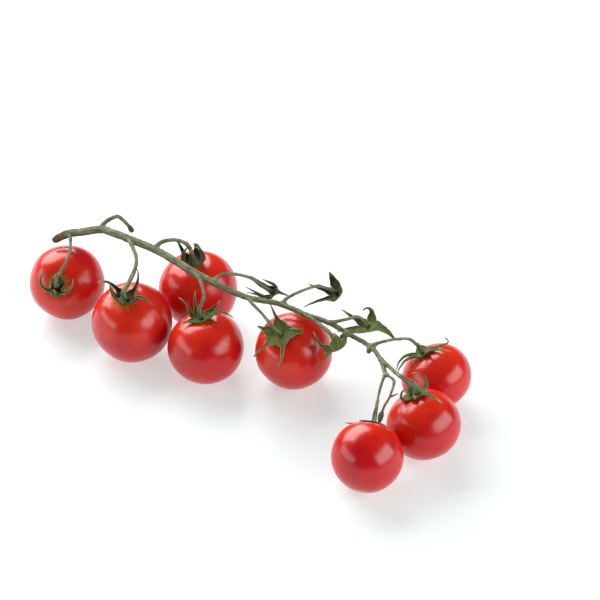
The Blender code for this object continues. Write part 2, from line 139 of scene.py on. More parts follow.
def smooth_route(points: Sequence[Sequence[float]], step: float) -> list[Vector]:
    """Runs a smooth curve through points and reads it about every step.

    Args:
        points: The points that the curve passes.
        step: The distance between two readings.

    Returns:
        The readings, the first and last point included.
    """
    points = [Vector(point) for point in points]
    ends = [points[0] * 2 - points[1]] + points + [points[-1] * 2 - points[-2]]
    route = [points[0]]
    for before, start, end, after in zip(ends, ends[1:], ends[2:], ends[3:]):
        steps = max(1, round((end - start).length / step))
        for number in range(1, steps + 1):
            t = number / steps
            route.append(0.5 * (2 * start + (end - before) * t
                                + (2 * before - 5 * start + 4 * end - after) * t ** 2
                                + (3 * start - before - 3 * end + after) * t ** 3))
    return route


def make_active(piece: bpy.types.Object) -> None:
    """Selects one object and nothing else."""
    bpy.ops.object.select_all(action="DESELECT")
    piece.select_set(True)
    bpy.context.view_layer.objects.active = piece


def apply_modifier(piece: bpy.types.Object, kind: str, **settings: object) -> None:
    """Adds a modifier to a piece and applies it.

    Args:
        piece: The object.
        kind: The modifier's type.
        settings: Its settings by name.
    """
    make_active(piece)
    modifier = piece.modifiers.new(kind.lower(), kind)
    for name, value in settings.items():
        setattr(modifier, name, value)
    bpy.ops.object.modifier_apply(modifier=modifier.name)


def join_pieces(pieces: Sequence[bpy.types.Object], name: str) -> bpy.types.Object:
    """Joins objects into one.

    Args:
        pieces: The objects, the first of which stays.
        name: The name of the joined object.

    Returns:
        The joined object.
    """
    bpy.ops.object.select_all(action="DESELECT")
    for piece in pieces:
        piece.select_set(True)
    bpy.context.view_layer.objects.active = pieces[0]
    bpy.ops.object.join()
    pieces[0].name = name
    pieces[0].data.name = name
    return pieces[0]


def merge_doubles(piece: bpy.types.Object, distance: float) -> None:
    """Merges the points of a mesh that meet, and turns its faces alike.

    Args:
        piece: The object.
        distance: How near two points are merged, in millimetres.
    """
    make_active(piece)
    bpy.ops.object.mode_set(mode="EDIT")
    bpy.ops.mesh.select_all(action="SELECT")
    bpy.ops.mesh.remove_doubles(threshold=distance * MM)
    bpy.ops.mesh.normals_make_consistent(inside=False)
    bpy.ops.object.mode_set(mode="OBJECT")


def place_points(piece: bpy.types.Object, places: Sequence[Vector]) -> None:
    """Moves each point of a mesh to its place, given in millimetres."""
    piece.data.vertices.foreach_set("co", [value * MM for place in places for value in place])
    piece.data.update()


def write_values(piece: bpy.types.Object, name: str, values: Sequence[float]) -> None:
    """Keeps one number for each point of a mesh, for its material."""
    made = piece.data.attributes.new(name, "FLOAT", "POINT")
    made.data.foreach_set("value", list(values))


def write_vectors(piece: bpy.types.Object, name: str, values: Sequence[Vector]) -> None:
    """Keeps one vector for each point of a mesh, for its material."""
    made = piece.data.attributes.new(name, "FLOAT_VECTOR", "POINT")
    made.data.foreach_set("vector", [number for value in values for number in value])


def hand_over(piece: bpy.types.Object, finish: bpy.types.Material, slot: Slot, node: str) -> None:
    """Dresses a finished piece, ties it to its body and reports it.

    Args:
        piece: The object.
        finish: Its material.
        slot: Not used.
        node: The solid that it stands for.
    """
    piece.data.materials.append(finish)
    piece.data.shade_smooth()
    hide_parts(node)
    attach(piece, BODY)
    log.info("%s: %d faces", piece.name, len(piece.data.polygons))


class Nodes:
    """A material's node tree, with short ways to add nodes and join them."""

    def __init__(self, tree: bpy.types.NodeTree) -> None:
        """Keeps the tree to work on."""
        self.tree = tree

    def add(self, kind: str, **inputs: object) -> bpy.types.Node:
        """Adds a node.

        Args:
            kind: The node's type, without its common start.
            inputs: Settings by name; a name with spaces as underscores may be a socket.

        Returns:
            The node.
        """
        node = self.tree.nodes.new("ShaderNode" + kind)
        for name, value in inputs.items():
            self.put(node, name, value)
        return node

    def put(self, node: bpy.types.Node, name: str, value: object) -> None:
        """Sets a property of a node, or sets or joins one of its inputs."""
        if hasattr(node, name) and name not in ("Scale", "vector"):
            setattr(node, name, value)
            return
        socket = node.inputs[int(name[1:])] if name[1:].isdigit() else node.inputs[name.replace("_", " ")]
        if isinstance(value, bpy.types.NodeSocket):
            self.tree.links.new(value, socket)
        else:
            socket.default_value = value

    def attribute(self, name: str, vector: bool = False) -> bpy.types.NodeSocket:
        """Reads a value or a vector that the mesh keeps."""
        node = self.add("Attribute", attribute_name=name)
        return node.outputs["Vector" if vector else "Fac"]

    def math(self, operation: str, *values: object) -> bpy.types.NodeSocket:
        """Works out a number from one, two or three values."""
        node = self.add("Math", operation=operation)
        for number, value in enumerate(values):
            self.put(node, f"i{number}", value)
        return node.outputs[0]

    def ramp(self, value: bpy.types.NodeSocket, low: float, high: float,
             start: float = 0.0, end: float = 1.0) -> bpy.types.NodeSocket:
        """Eases a value from start to end as it goes from low to high."""
        node = self.add("MapRange", interpolation_type="SMOOTHSTEP")
        for number, setting in enumerate((value, low, high, start, end)):
            self.put(node, f"i{number}", setting)
        return node.outputs[0]

    def mix(self, share: object, first: object, second: object) -> bpy.types.NodeSocket:
        """Mixes two colours, as given by the share of the second."""
        node = self.add("Mix", data_type="RGBA")
        self.put(node, "i0", share)
        self.put(node, "i6", (*first, 1.0) if isinstance(first, tuple) else first)
        self.put(node, "i7", (*second, 1.0) if isinstance(second, tuple) else second)
        return node.outputs[2]

    def tint(self, colour: object, other: object, mask: bpy.types.NodeSocket,
             share: float) -> bpy.types.NodeSocket:
        """Mixes a share of another colour in where a mask is."""
        return self.mix(self.math("MULTIPLY", mask, share), colour, other)

    def fill(self, shader: bpy.types.Node, **values: object) -> None:
        """Sets or joins several of a shader's sockets, by name with underscores for spaces."""
        for name, value in values.items():
            self.put(shader, name, value)

    def group(self, mask: Mask, vector: bpy.types.NodeSocket, **values: object) -> bpy.types.NodeSocket:
        """Places a shared group and gives its mask."""
        node = self.tree.nodes.new("ShaderNodeGroup")
        node.node_tree = bpy.data.node_groups[mask.value]
        self.put(node, "Place", vector)
        for name, value in values.items():
            self.put(node, name, value)
        return node.outputs["Mask"]

    def bump(self, height: bpy.types.NodeSocket, depth: float,
             normal: bpy.types.NodeSocket | None = None) -> bpy.types.NodeSocket:
        """Turns a height into a normal; depth is in millimetres."""
        node = self.add("Bump", Height=height)
        node.inputs["Distance"].default_value = depth * MM
        if normal is not None:
            self.put(node, "Normal", normal)
        return node.outputs[0]


def start_material(name: str) -> tuple[bpy.types.Material, Nodes, bpy.types.Node]:
    """Starts a material.

    Args:
        name: The material's name.

    Returns:
        The material, its nodes and its shader.
    """
    material = bpy.data.materials.new(name)
    material.use_nodes = True
    return material, Nodes(material.node_tree), material.node_tree.nodes["Principled BSDF"]


def start_group(mask: Mask, inputs: dict[str, float]) -> tuple[Nodes, bpy.types.Node, bpy.types.Node]:
    """Starts a shared group with a Place input, other inputs and a Mask output.

    Args:
        mask: Which group.
        inputs: The other inputs and what they are unless set.

    Returns:
        Its nodes, its input node and its output node.
    """
    tree = bpy.data.node_groups.new(mask.value, "ShaderNodeTree")
    tree.interface.new_socket("Place", in_out="INPUT", socket_type="NodeSocketVector")
    for name, value in inputs.items():
        socket = tree.interface.new_socket(name, in_out="INPUT", socket_type="NodeSocketFloat")
        socket.default_value = value
    tree.interface.new_socket("Mask", in_out="OUTPUT", socket_type="NodeSocketFloat")
    return Nodes(tree), tree.nodes.new("NodeGroupInput"), tree.nodes.new("NodeGroupOutput")


def make_shared_groups() -> None:
    """Makes the mottle, specks and streaks that several finishes use."""
    nodes, given, result = start_group(Mask.MOTTLE, {"Scale": 300.0, "Low": 0.35, "High": 0.65})
    cloud = nodes.add("TexNoise", Vector=given.outputs["Place"], Scale=given.outputs["Scale"], Detail=4.0)
    mask = nodes.ramp(cloud.outputs[0], given.outputs["Low"], given.outputs["High"])
    nodes.put(result, "Mask", mask)

    nodes, given, result = start_group(Mask.SPECKS, {"Scale": 2000.0, "Size": 0.2, "Share": 0.5})
    cells = nodes.add("TexVoronoi", Vector=given.outputs["Place"], Scale=given.outputs["Scale"])
    dot = nodes.ramp(cells.outputs["Distance"], given.outputs["Size"], 0.0)
    chance = nodes.add("SeparateColor", Color=cells.outputs["Color"])
    kept = nodes.math("LESS_THAN", chance.outputs[0], given.outputs["Share"])
    nodes.put(result, "Mask", nodes.math("MULTIPLY", dot, kept))

    nodes, given, result = start_group(Mask.STREAKS, {"Length": 0.15, "Fineness": 2.0, "Low": 0.4, "High": 0.6})
    parts = nodes.add("SeparateXYZ", Vector=given.outputs["Place"])
    along = nodes.math("MULTIPLY", parts.outputs[0], given.outputs["Length"])
    side = nodes.math("MULTIPLY", parts.outputs[1], given.outputs["Fineness"])
    height = nodes.math("MULTIPLY", parts.outputs[2], given.outputs["Fineness"])
    pulled = nodes.add("CombineXYZ", X=along, Y=side, Z=height)
    cloud = nodes.add("TexNoise", Vector=pulled.outputs[0], Scale=1.0, Detail=3.0)
    nodes.put(result, "Mask", nodes.ramp(cloud.outputs[0], given.outputs["Low"], given.outputs["High"]))


@dataclass(frozen=True)
class SkinFinish:
    """The glossy skin of a ripe tomato, paler and more orange at the shoulder."""

    ripe: Colour = (0.61, 0.007, 0.006)
    deep: Colour = (0.50, 0.003, 0.006)
    shoulder: Colour = (0.70, 0.024, 0.006)
    ring: Colour = (0.74, 0.19, 0.02)
    speck: Colour = (0.85, 0.16, 0.06)
    scar: Colour = (0.35, 0.16, 0.07)

    def make(self) -> bpy.types.Material:
        """Makes the material, which reads own_place: the point on a unit fruit, stalk end up."""
        material, nodes, shader = start_material("ripe_skin")
        own = nodes.attribute("own_place", vector=True)
        world = nodes.add("TexCoord").outputs["Object"]
        height = nodes.add("SeparateXYZ", Vector=own).outputs[2]
        cloud = nodes.group(Mask.MOTTLE, world, Scale=90.0, Low=0.3, High=0.7)
        colour = nodes.mix(cloud, self.ripe, self.deep)
        shoulder = nodes.math("ADD", height, nodes.math("MULTIPLY", cloud, -0.35))
        colour = nodes.mix(nodes.ramp(shoulder, -0.1, 0.8), colour, self.shoulder)
        flat = nodes.add("VectorMath", operation="MULTIPLY", i0=own, i1=(1.0, 1.0, 0.0))
        round_it = nodes.add("VectorMath", operation="NORMALIZE", i0=flat.outputs[0])
        rays = nodes.add("TexNoise", Vector=round_it.outputs[0], Scale=5.0, Detail=3.0)
        reach = nodes.math("ADD", height, nodes.math("MULTIPLY", rays.outputs[0], 0.12))
        colour = nodes.mix(nodes.ramp(reach, 0.985, 1.05, 0.0, 0.85), colour, self.ring)
        specks = nodes.group(Mask.SPECKS, world, Scale=1500.0, Size=0.17, Share=0.35)
        colour = nodes.tint(colour, self.speck, specks, 0.35)
        colour = nodes.mix(nodes.ramp(height, -0.985, -0.998), colour, self.scar)
        rough = nodes.group(Mask.MOTTLE, world, Scale=400.0, Low=0.2, High=0.8)
        fine = nodes.add("TexNoise", Vector=world, Scale=700.0, Detail=2.0)
        nodes.fill(shader, Base_Color=colour, Roughness=nodes.math("MULTIPLY_ADD", rough, 0.06, 0.21),
                   Normal=nodes.bump(fine.outputs[0], 0.03), Subsurface_Weight=0.05,
                   Subsurface_Scale=0.002, Subsurface_Radius=(1.0, 0.2, 0.1))
        return material


@dataclass(frozen=True)
class StalkFinish:
    """The dusty green bark of the stalks, browner where it has dried, with painted shade darkening the
    undersides.
    """

    fresh: Colour = (0.125, 0.140, 0.062)
    dusty: Colour = (0.30, 0.315, 0.205)
    # painted shade: the dark colour put on the downward-facing undersides of the stalks
    underside_shade: Colour = (0.070, 0.065, 0.034)
    dried: Colour = (0.13, 0.085, 0.04)
    hair: Colour = (0.38, 0.39, 0.26)

    def make(self) -> bpy.types.Material:
        """Makes the material, which reads course, facing and age; facing drives the painted shade on the
        undersides.
        """
        material, nodes, shader = start_material("stalk_bark")
        course = nodes.attribute("course", vector=True)
        facing = nodes.attribute("facing")
        age = nodes.attribute("age")
        world = nodes.add("TexCoord").outputs["Object"]
        streaks = nodes.group(Mask.STREAKS, course, Length=0.25, Fineness=1.6, Low=0.35, High=0.65)
        colour = nodes.mix(streaks, self.fresh, self.dusty)
        cloud = nodes.group(Mask.MOTTLE, world, Scale=500.0, Low=0.35, High=0.7)
        colour = nodes.tint(colour, self.fresh, cloud, 0.45)
        # painted shade: where the bark faces down it is darkened towards the underside colour, as if in its own
        # shadow
        low = nodes.ramp(nodes.math("MULTIPLY_ADD", cloud, 0.25, facing), 0.75, 0.1)
        colour = nodes.tint(colour, self.underside_shade, low, 0.8)
        worn = nodes.ramp(nodes.math("MULTIPLY_ADD", cloud, 0.35, age), 0.35, 0.95)
        colour = nodes.mix(worn, colour, self.dried)
        hairs = nodes.group(Mask.SPECKS, world, Scale=3500.0, Size=0.3, Share=0.6)
        colour = nodes.tint(colour, self.hair, hairs, 0.35)
        grain = nodes.group(Mask.STREAKS, course, Length=0.8, Fineness=4.5, Low=0.3, High=0.7)
        nodes.fill(shader, Base_Color=colour, Roughness=0.75, Specular_IOR_Level=0.25,
                   Normal=nodes.bump(hairs, 0.05, nodes.bump(grain, 0.10)))
        return material


@dataclass(frozen=True)
class SepalFinish:
    """The green of the sepals: dark blades with paler ribs, hub, edges and tips, some tips dead."""

    name: str
    blade: Colour = (0.045, 0.072, 0.018)
    light: Colour = (0.125, 0.165, 0.042)
    hub: Colour = (0.190, 0.225, 0.060)
    tip: Colour = (0.30, 0.31, 0.15)
    dead: Colour = (0.085, 0.045, 0.020)
    hair: Colour = (0.20, 0.24, 0.12)

    def make(self) -> bpy.types.Material:
        """Makes the material, which reads along, across and tone."""
        material, nodes, shader = start_material(self.name)
        along = nodes.attribute("along")
        across = nodes.attribute("across")
        tone = nodes.attribute("tone")
        world = nodes.add("TexCoord").outputs["Object"]
        cloud = nodes.group(Mask.MOTTLE, world, Scale=450.0, Low=0.3, High=0.7)
        shade = nodes.math("MULTIPLY_ADD", cloud, 0.5, nodes.math("MULTIPLY", tone, 0.6))
        colour = nodes.mix(shade, self.blade, self.light)
        colour = nodes.mix(nodes.ramp(along, 0.34, 0.08, 0.0, 0.85), colour, self.hub)
        lengthwise = nodes.add("CombineXYZ", X=nodes.math("MULTIPLY", along, 14.0), Y=across, Z=tone)
        veins = nodes.group(Mask.STREAKS, lengthwise.outputs[0], Length=0.12, Fineness=4.2, Low=0.45, High=0.62)
        colour = nodes.tint(colour, self.light, veins, 0.35)
        rib = nodes.ramp(nodes.math("ABSOLUTE", across), 0.16, 0.02)
        colour = nodes.tint(colour, self.hub, rib, 0.4)
        reach = nodes.math("MULTIPLY_ADD", cloud, 0.1, along)
        end = nodes.mix(nodes.math("GREATER_THAN", tone, 0.7), self.tip, self.dead)
        colour = nodes.mix(nodes.ramp(reach, 0.82, 1.0), colour, end)
        edge = nodes.ramp(nodes.math("ABSOLUTE", across), 0.75, 1.0, 0.0, 0.45)
        colour = nodes.mix(edge, colour, self.tip)
        hairs = nodes.group(Mask.SPECKS, world, Scale=3200.0, Size=0.28, Share=0.5)
        colour = nodes.tint(colour, self.hair, hairs, 0.4)
        nodes.fill(shader, Base_Color=colour, Roughness=0.6, Specular_IOR_Level=0.15,
                   Normal=nodes.bump(hairs, 0.04, nodes.bump(veins, 0.09)))
        return material


@dataclass(frozen=True)
class BudFinish:
    """The brown husk of the dried bud."""

    husk: Colour = (0.10, 0.095, 0.04)
    dark: Colour = (0.016, 0.018, 0.009)

    def make(self) -> bpy.types.Material:
        """Makes the material, which reads course."""
        material, nodes, shader = start_material("dried_husk")
        course = nodes.attribute("course", vector=True)
        folds = nodes.group(Mask.STREAKS, course, Length=0.3, Fineness=3.0, Low=0.35, High=0.65)
        nodes.fill(shader, Base_Color=nodes.mix(folds, self.dark, self.husk), Roughness=0.85,
                   Normal=nodes.bump(folds, 0.15))
        return material


@dataclass(frozen=True)
class FloorFinish:
    """The matt white table top, which glows a little so that it stays pale."""

    white: Colour = (0.443, 0.50, 0.50)
    glow_colour: Colour = (0.98, 1.0, 1.0)
    glow: float = 0.50

    def make(self) -> bpy.types.Material:
        """Makes the material."""
        material, nodes, shader = start_material("pale_table")
        world = nodes.add("TexCoord").outputs["Object"]
        cloud = nodes.group(Mask.MOTTLE, world, Scale=6.0, Low=0.2, High=0.8)
        darker = tuple(value * 0.98 for value in self.white)
        nodes.fill(shader, Base_Color=nodes.mix(cloud, self.white, darker), Roughness=0.55,
                   Emission_Color=(*self.glow_colour, 1.0), Emission_Strength=self.glow)
        return material


@dataclass(frozen=True)
class Fruit:
    """Where one tomato lies and how big it is."""

    x: float
    y: float
    radius: float
    height: float
    heading: float
    tilt: float

    DIMPLE_DEPTH = 0.13
    DIMPLE_SPREAD = math.radians(20)
    SCAR_DEPTH = 0.012
    SCAR_SPREAD = math.radians(14)
    LOBES = 5
    LOBE_DEPTH = 0.008
    FLAT_DEPTH = 0.4

    @property
    def frame(self) -> Matrix:
        """The turn of the fruit, its stalk end up."""
        return axis_frame(direction(self.heading, self.tilt))

    @property
    def centre(self) -> Vector:
        """The centre, above the small flat that it rests on."""
        rise = direction(self.heading, self.tilt).z
        reach = math.sqrt((self.height * rise) ** 2 + 1 - rise ** 2)
        return Vector((self.x, self.y, self.radius * reach - self.FLAT_DEPTH))

    def skin(self, angle: float, turn: float = 0.0) -> Vector:
        """Gives a point of the skin about the centre.

        Args:
            angle: The angle from the stalk end, in radians.
            turn: The angle round the axis, in radians.

        Returns:
            The point, before the fruit's turn.
        """
        side = math.sin(angle) * (1 + self.LOBE_DEPTH * math.cos(self.LOBES * turn) * math.sin(angle))
        height = self.height * math.cos(angle)
        height -= self.DIMPLE_DEPTH * math.exp(-((angle / self.DIMPLE_SPREAD) ** 2))
        height += self.SCAR_DEPTH * math.exp(-(((math.pi - angle) / self.SCAR_SPREAD) ** 2))
        return Vector((side * math.cos(turn), side * math.sin(turn), height)) * self.radius

    def hub_height(self, clearance: float) -> float:
        """Gives how far along the axis the calyx hub sits above the skin."""
        edge = math.asin(Calyx.HUB_RADIUS / self.radius)
        return self.skin(edge).z + clearance


@dataclass
class Tomato:
    """One tomato: a low globe with its dimple, shoulder creases and rest flat."""

    number: int
    fruit: Fruit
    segments: int = 96
    rings: int = 64
    crease_depth: float = 0.20
    crease_angle: float = math.radians(27)
    crease_spread: float = math.radians(13)
    swell_depth: float = 0.14
    swell_size: float = 9.0

    def place(self, angle: float, turn: float) -> Vector:
        """Gives a point of the finished skin in the truss's frame."""
        point = self.fruit.skin(angle, turn)
        shoulder = math.exp(-(((angle - self.crease_angle) / self.crease_spread) ** 2))
        fold = (0.5 + 0.5 * math.cos(self.fruit.LOBES * turn + self.number)) ** 2
        offset = Vector((self.number * 7.3, 0.0, 0.0))
        swell = self.swell_depth * noise.noise(point / self.swell_size + offset)
        point += point.normalized() * (swell - self.crease_depth * shoulder * fold)
        point = self.fruit.centre + self.fruit.frame @ point
        point.z = max(point.z, 0.0)
        return point

    def build(self) -> bpy.types.Object:
        """Models the skin."""
        bpy.ops.object.select_all(action="DESELECT")
        bpy.ops.mesh.primitive_uv_sphere_add(segments=self.segments, ring_count=self.rings, radius=1.0)
        piece = bpy.context.object
        piece.name = f"tomato_{self.number}_skin"
        unit = [vert.co.copy() for vert in piece.data.vertices]
        write_vectors(piece, "own_place", unit)
        angles = [math.acos(max(-1.0, min(1.0, point.z))) for point in unit]
        place_points(piece, [self.place(angle, math.atan2(point.y, point.x))
                             for angle, point in zip(angles, unit)])
        return piece


@dataclass(frozen=True)
class Sepal:
    """One sepal: where it leaves the hub, how long and wide it is and how it bends."""

    heading: float
    length: float
    bends: Keys
    sweep: float = 0.0
    width: float = 1.0
    roll: float = 0.25


@dataclass
class Calyx:
    """A calyx: a webbed hub whose rim is drawn out into keeled, pointed sepals."""

    name: str
    sepals: tuple[Sepal, ...]
    hub: Vector
    axis: Vector
    fruit: Fruit | None
    seed: int
    web: float = 3.3
    thickness: float = 0.38
    rows: int = 40
    columns: int = 10
    clearance: float = 0.32
    paths: list[list[tuple[Vector, Vector, Vector]]] = field(init=False, default_factory=list)

    HUB_RADIUS = 2.7
    HUB_DIP = 0.55
    WEB_FADE = 2.4
    KEEL = 0.42
    KEEL_SHAPE = 1.4
    ROLL_PULL = 0.25
    CRINKLE = 0.10
    CRINKLE_SIZE = 1.7
    CRINKLE_AT_WEB = 0.3
    WIDTH = ((0.0, 3.3), (0.12, 2.7), (0.3, 2.15), (0.5, 1.65), (0.7, 1.1), (0.88, 0.55), (1.0, 0.12))
    PATH_STEPS = 60

    def path(self, sepal: Sepal) -> list[tuple[Vector, Vector, Vector]]:
        """Follows a sepal's midrib: its point, its side and its back at each step."""
        turn = math.radians(sepal.heading)
        out = axis_frame(self.axis) @ Vector((math.cos(turn), math.sin(turn), 0.0))
        side = self.axis.cross(out)
        step = sepal.length / self.PATH_STEPS
        point = self.hub + out * self.HUB_RADIUS
        found = [(point, side, self.axis)]
        for number in range(self.PATH_STEPS):
            place = (number + 0.5) / self.PATH_STEPS
            rise = math.radians(read_keys(sepal.bends, place))
            bend = math.radians(sepal.sweep * place)
            level = out * math.cos(bend) + side * math.sin(bend)
            point = point + (level * math.cos(rise) + self.axis * math.sin(rise)) * step
            across = side * math.cos(bend) - out * math.sin(bend)
            back = self.axis * math.cos(rise) - level * math.sin(rise)
            found.append((point, across, back))
        return found

    def keep_off(self, point: Vector) -> Vector:
        """Moves a point out until it clears the tomato."""
        if self.fruit is None:
            return point
        local = self.fruit.frame.transposed() @ (point - self.fruit.centre)
        least = self.fruit.skin(local.angle(UP)).length + self.clearance
        if local.length < least:
            local = local.normalized() * least
        return self.fruit.centre + self.fruit.frame @ local

    def sector(self, number: int, side: int) -> tuple[float, int]:
        """Gives how far a sepal's sector reaches to one side, and the sepal next to it."""
        other = (number + side) % len(self.sepals)
        apart = side * (self.sepals[other].heading - self.sepals[number].heading) % 360
        return math.radians(apart / 2), other

    def rim_profile(self, number: int, distance: float) -> tuple[float, float]:
        """Gives how far out and how high a sepal's midrib is, at a distance from the hub's middle."""
        if distance <= self.HUB_RADIUS:
            return distance, -self.HUB_DIP * (1 - (distance / self.HUB_RADIUS) ** 2)
        point = self.read_path(number, distance)[0] - self.hub
        height = point.dot(self.axis)
        return (point - self.axis * height).length, height

    def read_path(self, number: int, distance: float) -> tuple[Vector, Vector, Vector]:
        """Reads a midrib at a distance from the hub's middle."""
        path = self.paths[number]
        index = (distance - self.HUB_RADIUS) / self.sepals[number].length * self.PATH_STEPS
        low = min(max(int(index), 0), self.PATH_STEPS - 1)
        share = index - low
        start, end = path[low], path[low + 1]
        point, side, back = (first.lerp(last, share) for first, last in zip(start, end))
        return point, side.normalized(), back.normalized()

    def web_point(self, number: int, across: float, distance: float) -> Vector:
        """Gives a point of the webbed hub, which neighbouring sepals share at their border."""
        reach, other = self.sector(number, 1 if across > 0 else -1)
        share = across ** 2 / 2
        out, height = self.rim_profile(number, distance)
        next_out, next_height = self.rim_profile(other, distance)
        out += (next_out - out) * share
        height += (next_height - height) * share
        turn = math.radians(self.sepals[number].heading) + across * reach
        flat = axis_frame(self.axis) @ Vector((math.cos(turn), math.sin(turn), 0.0))
        return self.hub + flat * out + self.axis * height

    def blade_point(self, number: int, across: float, distance: float) -> Vector:
        """Gives a point of the free blade of a sepal."""
        sepal = self.sepals[number]
        place = (distance - self.HUB_RADIUS) / sepal.length
        point, side, back = self.read_path(number, distance)
        half = read_keys(self.WIDTH, place) / 2 * sepal.width
        keel = self.KEEL * half * (1 - abs(across) ** self.KEEL_SHAPE)
        rolled = sepal.roll * half * abs(across) ** 3
        pulled = 1 - self.ROLL_PULL * sepal.roll * abs(across) ** 2
        return point + side * half * across * pulled + back * (rolled - keel)

    def sepal_point(self, number: int, across: float, distance: float) -> Vector:
        """Gives a point of one sepal's patch, which starts at the middle of the hub.

        Args:
            number: Which sepal.
            across: From -1 at one edge to 1 at the other.
            distance: How far from the middle of the hub, along the midrib.

        Returns:
            The point in the truss's frame.
        """
        free = min(1.0, max(0.0, (distance - self.web) / self.WEB_FADE))
        free = free * free * (3 - 2 * free)
        point = self.web_point(number, across, distance)
        if distance > self.HUB_RADIUS:
            point = point.lerp(self.blade_point(number, across, distance), free)
            offset = Vector((self.seed * 3.1, number * 5.7, 0.0))
            shift = noise.noise_vector(point / self.CRINKLE_SIZE + offset)
            point += shift * self.CRINKLE * (self.CRINKLE_AT_WEB + (1 - self.CRINKLE_AT_WEB) * free)
        return self.keep_off(point)

    def build(self) -> bpy.types.Object:
        """Models the hub and its sepals."""
        draw = random.Random(self.seed)
        self.paths = [self.path(sepal) for sepal in self.sepals]
        patches = []
        for number, sepal in enumerate(self.sepals):
            bpy.ops.object.select_all(action="DESELECT")
            bpy.ops.mesh.primitive_grid_add(x_subdivisions=self.columns, y_subdivisions=self.rows, size=2.0)
            patch = bpy.context.object
            places = [(vert.co.x, (vert.co.y + 1) / 2) for vert in patch.data.vertices]
            reach = self.HUB_RADIUS + sepal.length
            tone = draw.random()
            write_values(patch, "along", [along for _, along in places])
            write_values(patch, "across", [across for across, _ in places])
            write_values(patch, "tone", [tone] * len(places))
            place_points(patch, [self.sepal_point(number, across, along * reach) for across, along in places])
            patches.append(patch)
        piece = join_pieces(patches, self.name)
        merge_doubles(piece, 0.02)
        apply_modifier(piece, "SOLIDIFY", thickness=self.thickness * MM, offset=0.0)
        apply_modifier(piece, "SUBSURF", levels=1, render_levels=1)
        return piece


@dataclass(frozen=True)
class Stalk:
    """A side stalk: the place in the main stalk where it leaves, and its route."""

    joint: int
    route: tuple[tuple[float, float, float], ...]
    girth: float = 1.0
    swell: float = 1.0


@dataclass
class Tube:
    """One stretch of stalk, with its thickness and how dried it is along it."""

    points: Sequence[Sequence[float]]
    radius: Keys
    age: Keys = ((0.0, 0.0), (1.0, 0.0))
    step: float = 0.8
    route: list[Vector] = field(init=False)
    lengths: list[float] = field(init=False)

    def __post_init__(self) -> None:
        """Reads the route through the points."""
        self.route = smooth_route(self.points, self.step)
        self.lengths = [0.0]
        for start, end in zip(self.route, self.route[1:]):
            self.lengths.append(self.lengths[-1] + (end - start).length)

    def build(self) -> bpy.types.Object:
        """Models the tube as a bevelled curve and turns it into a mesh."""
        data = bpy.data.curves.new("stretch", "CURVE")
        data.dimensions = "3D"
        data.bevel_depth = MM
        data.bevel_resolution = 4
        data.use_fill_caps = True
        spline = data.splines.new("POLY")
        spline.points.add(len(self.route) - 1)
        for point, place, length in zip(spline.points, self.route, self.lengths):
            point.co = (*(place * MM), 1.0)
            point.radius = read_keys(self.radius, length / self.lengths[-1])
        piece = bpy.data.objects.new("stretch", data)
        bpy.context.scene.collection.objects.link(piece)
        make_active(piece)
        bpy.ops.object.convert(target="MESH")
        return bpy.context.object


@dataclass
class Stem:
    """The main stalk with all its side stalks, grown into one another."""

    tubes: list[Tube]
    voxel: float = 0.24
    rib_depth: float = 0.09
    ribs: int = 5
    rib_twist: float = 0.08
    rough_depth: float = 0.15
    rough_size: float = 1.3
    places: list[tuple[Tube, int]] = field(init=False, default_factory=list)

    def nearest(self) -> KDTree:
        """Makes a search tree of all points of the routes."""
        self.places = [(tube, number) for tube in self.tubes for number in range(len(tube.route))]
        tree = KDTree(len(self.places))
        for index, (tube, number) in enumerate(self.places):
            tree.insert(tube.route[number], index)
        tree.balance()
        return tree

    def describe(self, point: Vector, tree: KDTree) -> tuple[Vector, float]:
        """Gives a point's place along and round its stalk, and how dried it is."""
        tube, number = self.places[tree.find(point)[1]]
        before, after = tube.route[max(0, number - 1)], tube.route[min(len(tube.route) - 1, number + 1)]
        along = (after - before).normalized()
        up = (UP - along * UP.dot(along)).normalized()
        away = point - tube.route[number]
        length = tube.lengths[number] + away.dot(along)
        share = tube.lengths[number] / tube.lengths[-1]
        return Vector((length, away.dot(up), away.dot(along.cross(up)))), read_keys(tube.age, share)

    def build(self) -> bpy.types.Object:
        """Models the stalks, grows them together and roughens the bark."""
        piece = join_pieces([tube.build() for tube in self.tubes], "stem_bark")
        apply_modifier(piece, "REMESH", mode="VOXEL", voxel_size=self.voxel * MM)
        apply_modifier(piece, "SMOOTH", factor=0.6, iterations=5)
        tree = self.nearest()
        courses, ages, places = [], [], []
        for vert in piece.data.vertices:
            point = vert.co / MM
            course, age = self.describe(point, tree)
            turn = math.atan2(course.z, course.y)
            rib = self.rib_depth * math.cos(self.ribs * turn + course.x * self.rib_twist)
            rough = self.rough_depth * noise.noise(point / self.rough_size)
            courses.append(course)
            ages.append(age)
            places.append(point + vert.normal * (rib + rough))
        write_vectors(piece, "course", courses)
        write_values(piece, "age", ages)
        # facing: how far each point faces up, which the bark reads for its painted underside shade
        write_values(piece, "facing", [(vert.normal.z + 1) / 2 for vert in piece.data.vertices])
        place_points(piece, places)
        return piece


